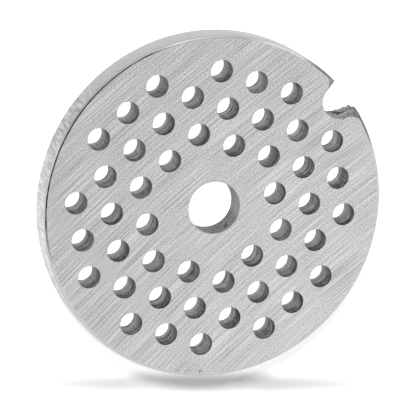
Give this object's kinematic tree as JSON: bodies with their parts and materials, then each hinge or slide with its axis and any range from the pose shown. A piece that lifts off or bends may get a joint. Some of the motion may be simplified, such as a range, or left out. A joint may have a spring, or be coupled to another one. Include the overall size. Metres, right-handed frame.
{
  "type": "meat grinder plate",
  "caption": "Round perforated steel plate for a meat grinder, with a field of small through holes, a central bore for the screw's stub and a locating notch in the rim.",
  "frame": {"origin": "middle of the bore, halfway through the plate's thickness", "axes": "+Z out of the ground front face, where the knife turns; +X out through the locating notch in the rim"},
  "size_m": [0.0539, 0.054, 0.005],
  "materials": {
    "ground_steel": "ground with fine straight scratches on the faces, turned on the rim, drilled in the holes"
  },
  "bodies": {
    "root": {"plate": "ground_steel"}
  },
  "joints": []
}
